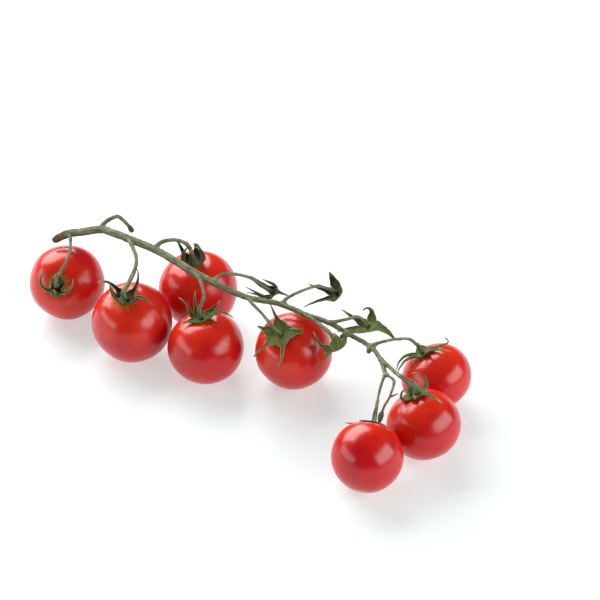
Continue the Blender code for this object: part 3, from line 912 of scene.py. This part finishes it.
@dataclass
class DriedBud:
    """The shrivelled flower bud at the end of the thin stalk."""

    start: Vector
    end: Vector
    radius: float = 1.25
    folds: int = 5
    fold_depth: float = 0.28
    twist: float = 2.5
    taper: float = 0.35

    def build(self) -> bpy.types.Object:
        """Models the husk as a folded, pointed spindle."""
        bpy.ops.object.select_all(action="DESELECT")
        bpy.ops.mesh.primitive_uv_sphere_add(segments=60, ring_count=40, radius=1.0)
        piece = bpy.context.object
        piece.name = "dried_bud_husk"
        length = (self.end - self.start).length
        turned = axis_frame((self.end - self.start).normalized())
        courses, places = [], []
        for vert in piece.data.vertices:
            along = (vert.co.z + 1) / 2
            turn = math.atan2(vert.co.y, vert.co.x)
            fold = 1 - self.fold_depth * (0.5 + 0.5 * math.cos(self.folds * turn + self.twist * along))
            side = self.radius * (1 - self.taper * along) * fold
            point = Vector((vert.co.x * side, vert.co.y * side, along * length))
            courses.append(Vector((point.z, point.x, point.y)))
            places.append(self.start + turned @ point)
        write_vectors(piece, "course", courses)
        place_points(piece, places)
        return piece


@dataclass(frozen=True)
class SoftLight:
    """A rectangular light: where it hangs, in degrees and metres, its size and its watts."""

    name: str
    heading: float
    tilt: float
    distance: float
    size: tuple[float, float]
    power: float

    def hang(self) -> None:
        """Hangs the light, turned to the truss."""
        towards = direction(self.heading, self.tilt).normalized()
        bpy.ops.object.light_add(type="AREA", location=towards * self.distance)
        light = bpy.context.object
        light.name = self.name
        light.rotation_euler = towards.to_track_quat("Z", "Y").to_euler()
        light.data.shape = "RECTANGLE"
        light.data.size, light.data.size_y = self.size
        light.data.energy = self.power


@dataclass
class Studio:
    """The pale table, the soft lights and the camera, in metres."""

    table_size: float = 6.0
    room_light: float = 0.10
    lights: tuple[SoftLight, ...] = (
        SoftLight("window", 154, 38, 0.9, (1.0, 0.70), 15.0),
        SoftLight("fill", 8, 24, 0.9, (1.0, 0.50), 7.2),
        SoftLight("front", -135, 16, 1.1, (1.3, 0.35), 4.5),
    )
    camera_place: Vector = field(default_factory=lambda: Vector((0.29687, -0.42878, 0.41498)))
    camera_aim: Vector = field(default_factory=lambda: Vector((-0.0058, 0.0556, 0.0)))
    lens: float = 102.0
    sensor: float = 36.0

    def make_table(self) -> None:
        """Lays the table."""
        bpy.ops.object.select_all(action="DESELECT")
        bpy.ops.mesh.primitive_plane_add(size=self.table_size)
        table = bpy.context.object
        table.name = "table"
        table.data.materials.append(FloorFinish().make())
        table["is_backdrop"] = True

    def make_world(self) -> None:
        """Fills the room with pale light."""
        world = bpy.data.worlds.new("pale_room")
        world.use_nodes = True
        back = world.node_tree.nodes["Background"]
        back.inputs["Color"].default_value = (1.0, 1.0, 1.0, 1.0)
        back.inputs["Strength"].default_value = self.room_light
        bpy.context.scene.world = world

    def make_camera(self) -> None:
        """Puts the camera at the photograph's view."""
        bpy.ops.object.camera_add(location=self.camera_place)
        camera = bpy.context.object
        camera.rotation_euler = (self.camera_aim - self.camera_place).to_track_quat("-Z", "Y").to_euler()
        camera.data.lens = self.lens
        camera.data.sensor_width = self.sensor
        bpy.context.scene.camera = camera

    def build(self) -> None:
        """Sets up the whole studio."""
        self.make_table()
        for light in self.lights:
            light.hang()
        self.make_world()
        self.make_camera()
        bpy.context.scene.view_settings.view_transform = "Standard"


CUPPED = ((0, 40), (0.3, 80), (0.6, 108), (0.85, 140), (1, 160))
HOOKED = ((0, 85), (0.25, 75), (0.4, 35), (1, 15))
RAISED = ((0, 20), (0.25, 80), (0.5, 115), (1, 140))
HIDDEN = ((0, 0), (1, -50))


@dataclass
class Truss:
    """The whole truss, with the same driving sizes as its solids."""

    fruits: tuple[Fruit, ...] = (
        Fruit(-81.8, -1.2, 15.2, 1.00, -66, 30),
        Fruit(-42.4, -10.1, 15.8, 1.02, -78, 72),
        Fruit(-33.6, 22.6, 15.9, 0.98, -91, 81),
        Fruit(-10.2, -6.0, 14.8, 0.96, 180, 82),
        Fruit(20.5, 9.0, 14.9, 1.02, -102, 58),
        Fruit(73.2, 27.0, 13.5, 0.90, -165, 59),
        Fruit(82.8, -0.7, 13.7, 0.95, 167, 66),
        Fruit(74.2, -27.1, 13.0, 1.00, 108, 38),
    )
    rachis: tuple[tuple[float, float, float], ...] = (
        (-88.2, -0.4, 32.0), (-86.2, 2.3, 33.4), (-83.4, 4.8, 34.5), (-77.8, 6.1, 36.5),
        (-70.5, 9.2, 38.5), (-64.7, 8.8, 39.3), (-55.6, 7.9, 40.0), (-42.5, 7.2, 40.0),
        (-32.1, 5.5, 39.7), (-21.9, 3.9, 39.0), (-12.5, 3.5, 38.0), (-4.2, 3.8, 36.8),
        (2.5, 5.0, 35.5), (8.4, 7.7, 34.5), (14.2, 10.3, 33.5), (24.6, 11.3, 32.0),
        (33.4, 12.8, 31.0), (42.5, 12.2, 29.8), (52.7, 11.2, 28.5), (59.4, 7.1, 28.0),
        (64.6, 1.8, 27.0),
    )
    rachis_radius: Keys = ((0.0, 0.8), (0.005, 1.25), (0.012, 1.55), (0.03, 1.7), (0.06, 1.6), (0.42, 1.5),
                           (0.58, 1.15), (0.75, 1.0), (1.0, 0.8))
    fruit_stalks: tuple[Stalk, ...] = (
        Stalk(2, ((-80.5, 1.6, 34.2), (-77.8, -1.9, 33.8), (-75.6, -6.0, 32.4), (-74.8, -10.5, 30.0),
                  (-75.6, -14.2, 27.0)), 0.75),
        Stalk(6, ((-50.6, 3.6, 40.2), (-47.1, 0.7, 39.6), (-44.7, -2.2, 38.4), (-43.2, -5.8, 37.0),
                  (-42.4, -10.5, 34.8)), 0.9),
        Stalk(7, ((-42.3, 9.6, 41.5), (-40.3, 11.7, 42.5), (-37.9, 13.9, 42.5), (-35.7, 16.5, 40.8),
                  (-34.6, 19.0, 37.5)), 0.9),
        Stalk(9, ((-16.7, 0.6, 39.3), (-12.9, -2.8, 38.3), (-11.0, -4.9, 36.4), (-11.4, -6.0, 34.0)),
              0.75),
        Stalk(12, ((6.4, 2.5, 35.3), (9.9, 1.4, 34.5), (14.6, -0.1, 32.8), (17.0, -0.7, 31.6)), 0.7),
        Stalk(18, ((54.9, 12.9, 29.8), (58.8, 15.5, 31.2), (61.7, 17.6, 31.5), (64.2, 20.4, 30.6)), 0.65),
        Stalk(19, ((65.4, 4.0, 28.6), (69.4, 1.6, 29.2), (72.8, 0.2, 29.6)), 0.85, 2.0),
        Stalk(20, ((66.7, -5.4, 26.0), (68.7, -10.7, 24.9), (70.2, -14.4, 24.0)), 0.6, 1.3),
    )
    bare_stalks: tuple[Stalk, ...] = (
        Stalk(10, ((-11.5, 6.6, 39.5), (-9.2, 8.5, 40.0), (-7.3, 11.3, 39.0), (-5.3, 14.4, 37.0),
                   (-3.5, 17.4, 34.5), (-1.5, 18.9, 31.8), (3.1, 21.1, 28.5)), 0.75),
        Stalk(14, ((14.7, 12.7, 34.8), (16.6, 15.7, 36.0), (18.8, 19.8, 36.5), (20.9, 24.4, 36.0),
                   (22.5, 27.8, 34.0), (25.1, 32.1, 30.0)), 0.7),
        Stalk(15, ((29.6, 9.3, 32.6), (34.4, 7.8, 32.4), (38.2, 6.9, 31.2), (41.8, 5.3, 27.4)), 0.8),
        Stalk(16, ((36.3, 13.8, 32.0), (39.0, 16.1, 32.5), (40.9, 19.9, 32.0), (42.4, 22.2, 30.4),
                   (44.6, 23.0, 27.5)), 0.75),
    )
    stalk_radius: Keys = ((0.0, 1.4), (0.14, 0.95), (0.45, 0.8), (0.56, 0.85), (0.62, 1.1), (0.69, 0.9),
                          (0.88, 1.15), (1.0, 1.35))
    lost_stalk: Stalk = Stalk(4, ((-70.7, 11.5, 40.0), (-69.2, 13.2, 41.5), (-67.1, 15.5, 42.5),
                                  (-64.7, 15.6, 42.0), (-61.7, 15.6, 40.0), (-59.6, 15.7, 37.5)))
    lost_radius: Keys = ((0.0, 1.4), (0.2, 0.85), (0.8, 0.75), (0.93, 1.1), (1.0, 0.9))
    dry_stalk: Stalk = Stalk(20, ((66.5, 0.6, 27.6), (70.5, -2.0, 28.2), (73.5, -10.6, 28.4),
                                  (74.5, -16.1, 28.4), (75.1, -18.5, 28.3)))
    offshoot: tuple[tuple[float, float, float], ...] = ((73.5, -10.6, 28.4), (74.0, -10.2, 28.5),
                                                        (74.6, -9.1, 28.6), (75.4, -7.7, 28.6))
    offshoot_radius: Keys = ((0.0, 0.36), (1.0, 0.28))
    dry_radius: Keys = ((0.0, 0.9), (0.15, 0.5), (0.3, 0.6), (0.6, 0.42), (1.0, 0.5))
    stumps: tuple[Stalk, ...] = (Stalk(17, ((41.0, 9.4, 29.4),)), Stalk(18, ((53.6, 8.4, 27.6),)))
    stump_radius: Keys = ((0.0, 1.3), (1.0, 0.7))
    calyxes: tuple[tuple[Sepal, ...], ...] = (
        (Sepal(100, 8.5, ((0, 20), (0.3, 80), (1, 110)), 0, 1.0, 0.6),
         Sepal(228, 15.0, HOOKED, -190, 0.75, 0.8), Sepal(262, 9.5, RAISED, 0, 1.4, 0.6),
         Sepal(295, 9.5, RAISED, 0, 1.4, 0.6), Sepal(328, 15.5, HOOKED, 140, 0.75, 0.8)),
        (Sepal(5, 13.8, ((0, 30), (0.35, 60), (0.7, -15), (1, -45)), -6, 0.9, 0.9),
         Sepal(61, 14.8, ((0, 42), (1, 96)), 2, 0.85, 0.5),
         Sepal(160, 12.4, ((0, 55), (0.4, 25), (0.8, -20), (1, -40)), 40, 0.8, 0.8),
         Sepal(215, 11.5, ((0, 60), (0.4, 85), (0.85, 95), (1, 60)), 0, 0.95, 0.9),
         Sepal(290, 11.0, ((0, 50), (0.35, 85), (0.6, 70), (1, -40)), 45, 1.2, 1.0)),
        (Sepal(20, 10.5, CUPPED, 0, 2.0, 0.3),
         Sepal(92, 10.0, ((0, 40), (0.3, 80), (0.6, 108), (0.85, 135), (1, 150)), 0, 2.0, 0.3),
         Sepal(178, 10.5, ((0, 30), (0.4, 75), (0.8, 60), (1, 20)), -20, 1.0, 0.8),
         Sepal(243, 10.5, CUPPED, 0, 2.0, 0.3), Sepal(308, 10.5, CUPPED, 0, 2.0, 0.3)),
        (Sepal(10, 13.0, ((0, 45), (0.4, 28), (0.7, -10), (1, -45)), 0, 0.9, 0.5),
         Sepal(50, 8.0, ((0, 35), (1, 55)), 0, 1.6, 0.3),
         Sepal(152, 10.0, ((0, 30), (0.35, 80), (0.5, 75), (1, 65)), -80, 0.6, 0.6),
         Sepal(192, 10.5, ((0, 30), (0.4, 85), (0.75, 60), (1, 10)), 0, 0.65, 0.7),
         Sepal(240, 6.0, ((0, 12), (1, 0)), -15, 0.6, 0.6)),
        (Sepal(25, 12.5, ((0, -8), (0.45, 0), (0.65, 140), (1, 172)), 2, 0.75, 0.3),
         Sepal(116, 10.5, ((0, 45), (0.6, 70), (1, 40)), 15, 0.8, 0.6),
         Sepal(189, 9.5, ((0, 40), (0.5, 0), (1, -57)), -30, 0.8, 0.5),
         Sepal(256, 12.5, ((0, 35), (1, 20)), 15, 0.75, 0.5),
         Sepal(318, 14.5, ((0, 17), (1, 10)), -41, 0.75, 0.5)),
        (Sepal(18, 12.0, ((0, 10), (0.7, 4), (0.8, 60), (1, 160)), 0, 0.7, 0.6),
         Sepal(135, 7.0, ((0, 25), (1, -20)), 0, 0.8, 0.6),
         Sepal(216, 11.0, ((0, 60), (0.4, 0), (1, -60)), 15, 0.6, 0.9),
         Sepal(250, 11.5, ((0, 53), (0.4, 5), (1, -50)), -15, 0.6, 0.9),
         Sepal(342, 14.4, ((0, 40), (1, -35)), 30, 0.55, 0.7)),
        (Sepal(32, 12.5, ((0, 19), (1, 190)), 6, 0.7, 0.7),
         Sepal(112, 7.0, ((0, 20), (1, -20)), 0, 1.0, 0.5),
         Sepal(250, 12.5, ((0, -20), (0.1, -10), (1, 320)), 0, 0.6, 0.5),
         Sepal(300, 5.0, ((0, 5), (0.5, 20), (1, 90)), 0, 1.6, 0.6),
         Sepal(340, 13.1, ((0, 22), (1, -34)), 0, 0.75, 0.7)),
        (Sepal(28, 4.5, HIDDEN, 0, 0.9, 0.5), Sepal(100, 9.5, ((0, 15), (1, -30)), 0, 0.9, 0.5),
         Sepal(170, 9.0, ((0, -5), (0.6, -8), (1, 15)), 0, 0.55, 0.7),
         Sepal(245, 4.5, HIDDEN, 0, 0.9, 0.5), Sepal(322, 4.5, HIDDEN, 0, 0.9, 0.5)),
    )
    webs_out: tuple[float, ...] = (3.3, 3.2, 3.4, 3.5, 4.7, 3.0, 3.8, 3.2)
    bare_calyxes: tuple[tuple[Sepal, ...], ...] = (
        (Sepal(0, 7.0, ((0, -10), (0.4, -40), (1, -60)), 0, 0.6, 0.8),
         Sepal(68, 7.0, ((0, 65), (0.3, 98), (1, 98)), 0, 0.8, 0.9),
         Sepal(150, 10.0, ((0, 60), (0.3, 92), (1, 80)), -10, 0.7, 0.9),
         Sepal(236, 11.0, ((0, 55), (0.3, 92), (1, 85)), 0, 0.6, 1.0),
         Sepal(282, 10.5, ((0, 55), (0.3, 82), (1, 70)), -10, 0.6, 1.0)),
        (Sepal(12, 7.0, ((0, 40), (1, 60)), 5, 0.8, 0.6), Sepal(124, 6.5, ((0, 25), (1, 45)), 0, 2.0, 0.2),
         Sepal(185, 9.5, ((0, 50), (1, 60)), 0, 0.9, 0.5), Sepal(245, 12.5, ((0, 62), (1, 38)), 5, 0.8, 0.6),
         Sepal(312, 7.0, ((0, 50), (1, 80)), 0, 0.9, 0.6)),
        (Sepal(10, 4.5, ((0, 15), (0.5, 60), (1, 95)), 0, 2.2, 0.2),
         Sepal(100, 5.0, ((0, 60), (1, 75)), 0, 1.0, 0.5),
         Sepal(178, 12.0, ((0, -15), (1, -25)), 0, 0.5, 0.6),
         Sepal(218, 10.5, ((0, 50), (0.5, 75), (1, 95)), 0, 1.1, 0.4),
         Sepal(318, 6.0, ((0, 60), (0.4, 85), (1, 92)), 0, 2.4, 0.1)),
        (Sepal(0, 12.5, ((0, -14), (1, -45)), -35, 1.6, 0.2),
         Sepal(78, 9.0, ((0, 30), (0.4, 60), (0.6, 110), (1, 190)), 0, 1.5, 0.4),
         Sepal(166, 11.5, ((0, 58), (1, 40)), 0, 0.9, 0.5),
         Sepal(198, 11.0, ((0, 30), (1, 8)), 0, 1.4, 0.3),
         Sepal(234, 7.5, ((0, 40), (1, 35)), 0, 1.3, 0.3)),
    )
    bare_webs: tuple[float, ...] = (3.0, 3.3, 5.0, 4.2)
    withered: tuple[str, ...] = ("calyx_2_sepals", "calyx_3_sepals", "calyx_8_sepals",
                                 "bare_calyx_1_sepals", "bare_calyx_2_sepals")
    creases: tuple[float, ...] = (0.08, 0.12, 0.10, 0.05, 0.12, 0.0, 0.17, 0.0)
    bud_start: tuple[float, float, float] = (75.2, -18.8, 28.3)
    bud_end: tuple[float, float, float] = (77.0, -24.4, 27.3)

    HUB_CLEARANCE = 0.45
    HUB_HALF = 0.325
    GAP = 0.3
    LAST_STRAIGHT = 3.2
    SINK = 0.9
    WEB_REACH = 3.6
    WEB_LEAST = 0.35
    WEB_DIP = 0.25
    WEB_RADIUS = 0.8
    SWELL_FROM = 0.8
    BARE_SEED = 20

    def girth_keys(self, stalk: Stalk) -> Keys:
        """Gives a side stalk's radius along it, swollen at its end where the fruit's calyx sits."""
        return tuple((place, radius * stalk.girth * (stalk.swell if place > self.SWELL_FROM else 1.0))
                     for place, radius in self.stalk_radius)

    def webs(self, stalk: Stalk) -> Iterator[Tube]:
        """Gives the two short webs that flare a side stalk's root."""
        root = Vector(self.rachis[stalk.joint])
        last = len(self.rachis) - 1
        before, after = self.rachis[max(0, stalk.joint - 1)], self.rachis[min(last, stalk.joint + 1)]
        along = (Vector(after) - Vector(before)).normalized()
        away = (Vector(stalk.route[0]) - root).normalized()
        for side in (1, -1):
            closeness = 0.5 + 0.5 * side * along.dot(away)
            reach = self.WEB_REACH * (self.WEB_LEAST + (1 - self.WEB_LEAST) * closeness)
            if stalk.joint == last and side == 1:
                continue
            start, end = root + along * side * reach, root + away * reach
            middle = (start + end) / 2
            middle += (root - middle) * self.WEB_DIP
            radius = self.WEB_RADIUS * stalk.girth
            yield Tube((start, middle, end), ((0.0, radius), (1.0, radius)))

    def tubes(self) -> list[Tube]:
        """Lists every stretch of stalk."""
        tubes = [Tube(self.rachis, self.rachis_radius, ((0.0, 1.0), (0.03, 0.5), (0.1, 0.1), (1.0, 0.3)))]
        for stalk, fruit in zip(self.fruit_stalks, self.fruits):
            axis = fruit.frame.col[2]
            end = fruit.centre + axis * (fruit.hub_height(self.HUB_CLEARANCE + 2 * self.HUB_HALF) + self.GAP)
            points = (self.rachis[stalk.joint], *stalk.route, end + axis * self.LAST_STRAIGHT, end)
            tubes.append(Tube((*points[:-1], end - axis * self.SINK), self.girth_keys(stalk)))
            tubes.extend(self.webs(stalk))
        for stalk in self.bare_stalks:
            before, end = (Vector(point) for point in stalk.route[-2:])
            sunk = end + (end - before).normalized() * self.SINK
            tubes.append(Tube((self.rachis[stalk.joint], *stalk.route[:-1], sunk), self.girth_keys(stalk)))
            tubes.extend(self.webs(stalk))
        tubes.append(Tube((self.rachis[self.lost_stalk.joint], *self.lost_stalk.route), self.lost_radius,
                          ((0.0, 0.0), (0.8, 0.2), (1.0, 1.0))))
        tubes.extend(self.webs(self.lost_stalk))
        tubes.append(Tube((self.rachis[self.dry_stalk.joint], *self.dry_stalk.route), self.dry_radius,
                          ((0.0, 0.2), (0.5, 0.5), (1.0, 1.0))))
        tubes.append(Tube(self.offshoot, self.offshoot_radius, ((0.0, 0.5), (1.0, 1.0))))
        for stump in self.stumps:
            tubes.append(Tube((self.rachis[stump.joint], *stump.route), self.stump_radius,
                              ((0.0, 0.0), (1.0, 1.0))))
        return tubes

    def fruit_calyx(self, number: int) -> Calyx:
        """Gives the calyx on a tomato, by the tomato's number from 1."""
        fruit = self.fruits[number - 1]
        axis = fruit.frame.col[2]
        hub = fruit.centre + axis * fruit.hub_height(self.HUB_CLEARANCE + self.HUB_HALF)
        return Calyx(f"calyx_{number}_sepals", self.calyxes[number - 1], hub, axis, fruit, number,
                     web=self.webs_out[number - 1])

    def bare_calyx(self, number: int) -> Calyx:
        """Gives a calyx that lost its tomato, by its number from 1."""
        before, end = (Vector(point) for point in self.bare_stalks[number - 1].route[-2:])
        axis = (before - end).normalized()
        hub = end - axis * (self.GAP + self.HUB_HALF)
        name = f"bare_calyx_{number}_sepals"
        return Calyx(name, self.bare_calyxes[number - 1], hub, axis, None, self.BARE_SEED + number,
                     web=self.bare_webs[number - 1])

    def build(self) -> None:
        """Models and dresses every piece of the truss."""
        skin = SkinFinish().make()
        bark = StalkFinish().make()
        green = SepalFinish("sepal_green").make()
        withered = SepalFinish("sepal_withered", blade=(0.026, 0.036, 0.014), light=(0.075, 0.088, 0.035),
                               hub=(0.11, 0.12, 0.05)).make()
        hand_over(Stem(self.tubes()).build(), bark, Slot.STALK, "stem")
        for number, fruit in enumerate(self.fruits, start=1):
            tomato = Tomato(number, fruit, crease_depth=self.creases[number - 1]).build()
            hand_over(tomato, skin, Slot.SKIN, f"tomato_{number}")
            calyx = self.fruit_calyx(number).build()
            finish = withered if calyx.name in self.withered else green
            hand_over(calyx, finish, Slot.CALYX, f"calyx_{number}")
        for number in range(1, len(self.bare_stalks) + 1):
            calyx = self.bare_calyx(number).build()
            finish = withered if calyx.name in self.withered else green
            hand_over(calyx, finish, Slot.CALYX, f"bare_calyx_{number}")
        bud = DriedBud(Vector(self.bud_start), Vector(self.bud_end)).build()
        hand_over(bud, BudFinish().make(), Slot.BUD, "dried_bud")


def write_sizes() -> None:
    """Works out the boxes of the solids and of the finished looks."""
    boxes = {"cad": CAD_BOX, "visual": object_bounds()}
    {name: [list(corner) for corner in box] for name, box in boxes.items()}


def main() -> None:
    """Builds the truss and its studio."""
    logging.basicConfig(level=logging.INFO, format="%(name)s %(message)s")
    make_shared_groups()
    Truss().build()
    Studio().build()
    write_sizes()


if __name__ == "__main__":
    main()
